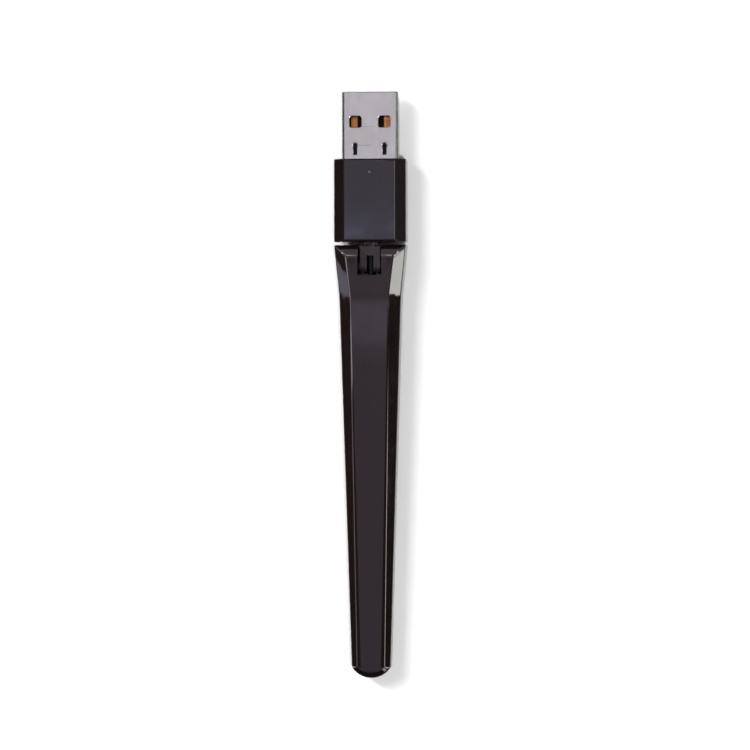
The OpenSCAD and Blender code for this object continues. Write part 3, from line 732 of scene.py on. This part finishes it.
def antenna_bottom():
    cover = loose("antenna_bottom", stacked(*lower_levels(0, SEAM, SOFT_SEAM)))
    combine(cover, loose("room", stacked(*lower_levels(WALL, SEAM + PAST))), "DIFFERENCE")
    ridge = seam_band(WALL - LIP, SEAM - 0.3, SEAM + RIDGE_HIGH)
    combine(ridge, seam_band(WALL, SEAM - PAST, SEAM + 0.8), "DIFFERENCE")
    combine(cover, ridge, "UNION")
    finish_piece(cover, "antenna_bottom", ["antenna_bottom_cover"], "antenna")


antenna_top()
antenna_bottom()


# ---- cable: one run from the hub's rear wall through the knuckle to the antenna's board ----

CABLE_STEPS = 60
CABLE_SIDES = 24


def cable():
    """The visible cable, straight through the knuckle and then dropping in a soft bend to the board."""
    knuckle_high = box_mm("coax_knuckle")[1]
    inner_low = box_mm("coax_antenna")[0]
    radius = knuckle_high.x
    low_z = inner_low.z + radius
    drop_start = SLOT_END - 3
    drop_end = inner_low.y + 3.6
    rings = []
    for i in range(CABLE_STEPS + 1):
        y = mix(knuckle_high.y, inner_low.y, i / CABLE_STEPS)
        t = min(1.0, max(0.0, (drop_start - y) / (drop_start - drop_end)))
        z = low_z * (1 - math.cos(math.pi * t)) / 2
        shrink = 0.92 if i in (0, CABLE_STEPS) else 1.0
        turns = [2 * math.pi * k / CABLE_SIDES for k in range(CABLE_SIDES)]
        rings.append([
            (radius * shrink * math.sin(a), y, z + radius * shrink * math.cos(a)) for a in turns
        ])
    obj = tube("cable_run", rings)
    finish_piece(obj, "cable_run", ["coax_knuckle", "coax_antenna"], smooth_angle=50)
    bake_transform(obj)


cable()


# ---- hub, plug and knuckle: CAD shapes with finished edges ----

HUB_REAR = box_mm("hub_top_cover")[0].y
RIM_EDGE = 0.6  # the short edges of round openings are no longer than this
OUTER_X = 6.6
OUTER_Z = 3.1
SEAM_BAND = 0.2


def everywhere(p, e):
    return True


def on_hub_outside(p, e):
    """Long edges of the hub's outline, away from the pinhole and the openings."""
    return e.calc_length() > RIM_EDGE * MM and (abs(p.x) > OUTER_X or abs(p.z) > OUTER_Z)


def off_seam(p, e):
    return on_hub_outside(p, e) and abs(p.z) > SEAM_BAND


def on_seam(p, e):
    return abs(p.x) > 7.5 and abs(p.z) < SEAM_BAND


def on_mouth(p, e):
    return p.y > MOUTH_Y - 0.01


def behind_hub(p, e):
    return p.y < HUB_REAR - 0.5


WINDOW_X = 3.09
WINDOW_WIDE = 2.55
WINDOW_LONG = 2.45
WINDOW_Y = MOUTH_Y - 5.15 - WINDOW_LONG / 2
WINDOW_R = 0.5
KEYHOLE_X = 3.15
KEYHOLE_FRONT = MOUTH_Y - 10.9
KEYHOLE_END = KEYHOLE_FRONT - 2.45
KEYHOLE_HALF = 0.35
KEYHOLE_HEAD_R = 0.45
PRESS_CLEARANCE = 0.02


def window_ring(x, grow):
    """A window's outline in plan, grown on all sides."""
    half_x, half_y, radius = WINDOW_WIDE / 2 + grow, WINDOW_LONG / 2 + grow, WINDOW_R + grow
    ring = []
    for corner, (sx, sy) in enumerate(((1, 1), (-1, 1), (-1, -1), (1, -1))):
        for k in range(9):
            a = math.pi / 2 * (corner + k / 8)
            ring.append((
                x + sx * (half_x - radius) + radius * math.cos(a),
                WINDOW_Y + sy * (half_y - radius) + radius * math.sin(a)))
    return ring


def keyhole_ring(x, grow):
    """A keyhole's outline in plan: a round head towards the mouth, grown all round, and a straight slot."""
    half, radius = KEYHOLE_HALF + grow / 2, KEYHOLE_HEAD_R + grow
    head_y = KEYHOLE_FRONT - KEYHOLE_HEAD_R
    neck = math.asin(half / radius)
    ring = [(x - half, KEYHOLE_END - grow)]
    for k in range(25):
        a = 1.5 * math.pi - neck - (2 * math.pi - 2 * neck) * k / 24
        ring.append((x + radius * math.cos(a), head_y + radius * math.sin(a)))
    ring.append((x + half, KEYHOLE_END - grow))
    return ring


def press(ring_of, x, width, depth):
    """A tool that gives a hole in the plug's upper side a pressed lip, width wide and depth deep."""
    top = plug_high.z
    lift = 0.05
    levels = (
        (width * (1 + lift / depth), top + lift),
        (PRESS_CLEARANCE, top - depth),
        (PRESS_CLEARANCE, top - 0.5),
    )
    return tube("press", [[(px, py, z) for px, py in ring_of(x, grow)] for grow, z in levels])


def plug_sheet():
    """The plug's steel sheet with a rounded mouth and pressed lips at its upper holes."""
    bm = cleaned("plug_shell")
    round_edges(bm, 0.08, 3, on_mouth)
    sheet = loose("plug_sheet", bm)
    for side in (-1, 1):
        combine(sheet, press(window_ring, side * WINDOW_X, 0.08, 0.07), "DIFFERENCE")
        combine(sheet, press(keyhole_ring, side * KEYHOLE_X, 0.24, 0.14), "DIFFERENCE")
    finish_piece(sheet, "plug_sheet", ["plug_shell"], "hub")


HUB_ROUNDINGS = [(0.15, 5, off_seam), (0.06, 2, on_seam)]
refined("hub_top", "hub_top_cover", HUB_ROUNDINGS)
refined("hub_bottom", "hub_bottom_cover", HUB_ROUNDINGS)
plug_sheet()
refined("plug_block", "plug_insulator", [(0.05, 2, everywhere)])
refined("plug_blades", "plug_contacts", [(0.04, 2, everywhere)])
refined("knuckle", "hinge_knuckle", [(0.09, 3, behind_hub)])

# ---- parts inside, which show when the covers are taken off ----

INSIDE = {
    "main_pcb": 0.04, "wifi_chip": 0.06, "rf_shield": 0.08, "crystal": 0.2, "voltage_regulator": 0.05,
    "capacitors": 0.06, "resistors": 0.05, "status_led": 0.08, "light_guide": 0.05, "coax_hub": 0.06,
    "hub_solder_joints": 0.05, "antenna_board": 0.05, "antenna_traces": 0.015, "antenna_solder_joints": 0.06,
    "antenna_tape": 0.06,
}
for inner_node, inner_width in INSIDE.items():
    refined(inner_node + "_finished", inner_node, [(inner_width, 2, everywhere)])


# ---- floor ----

def lay_floor():
    """A pale matt floor, unlit ahead of the plug in reflections, and as bright as the backdrop far away."""
    pale = (0.9, 0.9, 0.9)
    bpy.ops.mesh.primitive_plane_add(size=6, location=(0, 0, cad_low.z))
    floor = bpy.context.object
    floor.name = "floor"
    s = Surface("floor", pale, 0.6)
    s.set("Specular IOR Level", 0.1)
    spot = s.place()
    ahead = s.node("ShaderNodeSeparateXYZ", Vector=spot).outputs["Y"]
    away = s.node("ShaderNodeVectorMath", {"operation": "LENGTH"}, i0=spot).outputs["Value"]
    rays = s.node("ShaderNodeLightPath").outputs
    unlit = s.math("MULTIPLY", rays["Is Glossy Ray"], s.span(ahead, 40, 60, 0, 0.95))
    s.set("Base Color", s.tint(unlit, pale, (0.03, 0.03, 0.03)))
    s.set("Emission Color", (1, 1, 1, 1))
    s.set("Emission Strength", s.math("MULTIPLY", rays["Is Camera Ray"], s.span(away, 250, 700, 0, 1)))
    floor.data.materials.append(s.material)


lay_floor()


# ---- light ----

LAMP_AIM = Vector((0, -0.045, 0))  # near the middle of the object, in metres


def area_light(name, direction, distance, across, up, energy):
    """A soft lamp that lights the scene but isn't mirrored; the studio's dome makes the reflections."""
    data = bpy.data.lights.new(name, "AREA")
    data.shape = "ELLIPSE"
    data.size = across
    data.size_y = up
    data.energy = energy
    lamp = bpy.data.objects.new(name, data)
    bpy.context.scene.collection.objects.link(lamp)
    out = Vector(direction).normalized()
    lamp.location = out * distance + LAMP_AIM
    lamp.rotation_euler = out.to_track_quat("Z", "Y").to_euler()
    lamp.visible_glossy = False


def towards(azimuth, elevation):
    """Unit vector; azimuth 0 is +X and 90 is +Y."""
    a, e = math.radians(azimuth), math.radians(elevation)
    return (math.cos(a) * math.cos(e), math.sin(a) * math.cos(e), math.sin(e))


area_light("key", towards(143, 37), 1.2, 0.3, 1.35, 22.6)
area_light("fill", towards(325, 75), 1.2, 0.12, 0.12, 8.5)


class Dome(Surface):
    """The studio seen in reflections: glows that are functions of direction, added up."""

    def __init__(self):
        self.world = bpy.data.worlds.new("studio")
        bpy.context.scene.world = self.world
        self.world.use_nodes = True
        self.tree = self.world.node_tree
        self.tree.nodes.clear()
        self.direction = self.node("ShaderNodeTexCoord").outputs["Generated"]
        parts = self.node("ShaderNodeSeparateXYZ", Vector=self.direction)
        self.y, self.z = parts.outputs["Y"], parts.outputs["Z"]
        self.total = None

    def band(self, value, low, high, soft):
        """1 where value lies between low and high, with soft ends."""
        rise = self.span(value, low - soft, low + soft, 0, 1)
        return self.math("MULTIPLY", rise, self.span(value, high - soft, high + soft, 1, 0))

    def card(self, azimuth, elevation, across, up, soft):
        """1 on a card about a direction. across and up are its half sizes in degrees."""
        out = Vector(towards(azimuth, elevation))
        side = Vector((0, 0, 1)).cross(out).normalized()
        shape = None
        for axis, half in ((side, across), (out.cross(side), up)):
            edge = math.sin(math.radians(half))
            part = self.band(self.along(axis), -edge, edge, soft)
            shape = part if shape is None else self.math("MULTIPLY", shape, part)
        return self.math("MULTIPLY", shape, self.span(self.along(out), 0.0, 0.1, 0, 1))

    def along(self, axis):
        """The direction's part along an axis."""
        made = self.node(
            "ShaderNodeVectorMath", {"operation": "DOT_PRODUCT"}, i0=self.direction, i1=tuple(axis))
        return made.outputs["Value"]

    def glow(self, colour, amount, strength=1.0):
        amount = self.math("MULTIPLY", amount, strength)
        return self.node("ShaderNodeBackground", Color=(*colour, 1), Strength=amount)

    def add(self, colour, amount, strength=1.0):
        made = self.glow(colour, amount, strength).outputs[0]
        if self.total is not None:
            made = self.node("ShaderNodeAddShader", i0=self.total, i1=made).outputs[0]
        self.total = made

    def finish(self, ambient, backdrop):
        """Reflections see the glows, the floor is lit by ambient, and the camera sees backdrop."""
        path = self.node("ShaderNodeLightPath").outputs
        plain = self.glow((1, 1, 1), 1.0, ambient).outputs[0]
        seen = self.glow((1, 1, 1), 1.0, backdrop).outputs[0]
        made = self.node("ShaderNodeMixShader", i0=path["Is Glossy Ray"], i1=plain, i2=self.total).outputs[0]
        made = self.node("ShaderNodeMixShader", i0=path["Is Camera Ray"], i1=made, i2=seen).outputs[0]
        self.node("ShaderNodeOutputWorld", Surface=made)


def light_dome():
    """The studio's reflections. Cards are placed by azimuth and elevation, with half sizes in degrees."""
    d = Dome()
    ceiling = d.span(d.z, 0.93, 0.985, 0, 1)

    def over(low, high, soft):
        """A strip of the ceiling between two directions along Y."""
        return d.math("MULTIPLY", ceiling, d.band(d.y, low, high, soft))

    gap = d.math("SUBTRACT", 1.0, d.band(d.y, 0.0356, 0.0382, 0.0003))
    d.add((1.03, 0.94, 1.13), d.math("MULTIPLY", ceiling, gap), 0.5)
    # panels that show in the plug, the hub, the antenna's level part and the start of its slope
    d.add((0.42, 0.34, 0.25), over(0.069, 0.2, 0.002))
    d.add((0.26, 0.34, 0.48), over(0.0422, 0.069, 0.0005))
    hub_panel = over(0.0422, 0.069, 0.0005)
    d.add((0.5, 0.5, 0.8), d.math("MULTIPLY", hub_panel, d.span(d.y, 0.0445, 0.0535, 1, 0)))
    d.add((0.4, 0.38, 0.65), d.math("MULTIPLY", hub_panel, d.span(d.y, 0.0445, 0.049, 1, 0)))
    d.add((0.1, 0.07, 0.13), over(0.025, 0.0354, 0.0003))
    d.add((0.55, 0.52, 0.65), over(-0.034, -0.012, 0.001))
    # softboxes in front of and behind the object, which show only from other angles
    d.add((1.0, 0.98, 1.0), d.card(90, 24, 42, 9, 0.12), 0.75)
    d.add((1.0, 0.98, 1.0), d.card(270, 36, 42, 11, 0.12), 0.75)
    # faint light from the sides, and the cards that show in the bevels, edges and lips
    d.add((1.0, 0.9, 0.9), d.span(d.z, 0.0, 0.6, 0.04, 0.1))
    d.add((1.0, 1.0, 0.96), d.card(-11, 35.2, 5.3, 7.8, 0.004), 10.5)
    d.add((1, 0.95, 1.05), d.card(3, 21.5, 6, 5, 0.02), 0.14)
    d.add((0.9, 0.9, 1.1), d.card(187.5, 20.4, 4.5, 3.4, 0.006), 2.0)
    d.add((1, 0.97, 1.03), d.card(183.2, 42, 0.7, 10, 0.004), 5.0)
    d.add((1, 1, 1), d.card(191, 43, 4.5, 5, 0.01), 5.5)
    d.add((1, 0.98, 1), d.card(106, 49, 8, 4, 0.01), 6.0)
    d.add((1, 0.95, 1.05), d.card(98, 43, 16, 4, 0.02), 0.8)
    d.add((1, 1, 1), d.card(6, 39, 3, 8, 0.01), 1.2)
    d.add((1, 1, 1), d.card(173, 29, 3, 7, 0.01), 1.0)
    d.add((1, 1, 0.98), d.card(10, 47, 8, 5, 0.01), 10.0)
    d.add((1, 1, 1), d.card(-30, 9, 11, 7, 0.02), 16.0)
    d.add((1, 1, 1), d.card(203, 5, 11, 4, 0.02), 16.0)
    d.add((1, 1, 1), d.card(-44, 14.8, 1.8, 1.6, 0.005), 22.0)
    d.add((1, 1, 1), d.card(-55, 13, 4, 1.8, 0.01), 4.0)
    d.finish(ambient=0.22, backdrop=1.0)


light_dome()

# ---- camera ----

VIEW_TILT = math.radians(5.5)
VIEW_ROLL = math.radians(-0.088)
LENS = 150
SENSOR = 36
FRAME_WIDTH = 160.0 * MM
TARGET = Vector((1.01, -46.09, 2.0)) * MM
cam_data = bpy.data.cameras.new("camera")
cam = bpy.data.objects.new("camera", cam_data)
bpy.context.scene.collection.objects.link(cam)
cam_data.lens = LENS
cam_data.sensor_width = SENSOR
cam_data.clip_start = 0.01
out = Vector((math.sin(VIEW_TILT), 0, math.cos(VIEW_TILT)))
turn = Matrix.Rotation(VIEW_TILT, 4, "Y") @ Matrix.Rotation(VIEW_ROLL, 4, "Z")
cam.matrix_world = Matrix.Translation(TARGET + out * FRAME_WIDTH * LENS / SENSOR) @ turn
bpy.context.scene.camera = cam
bpy.context.scene.view_settings.view_transform = "Standard"
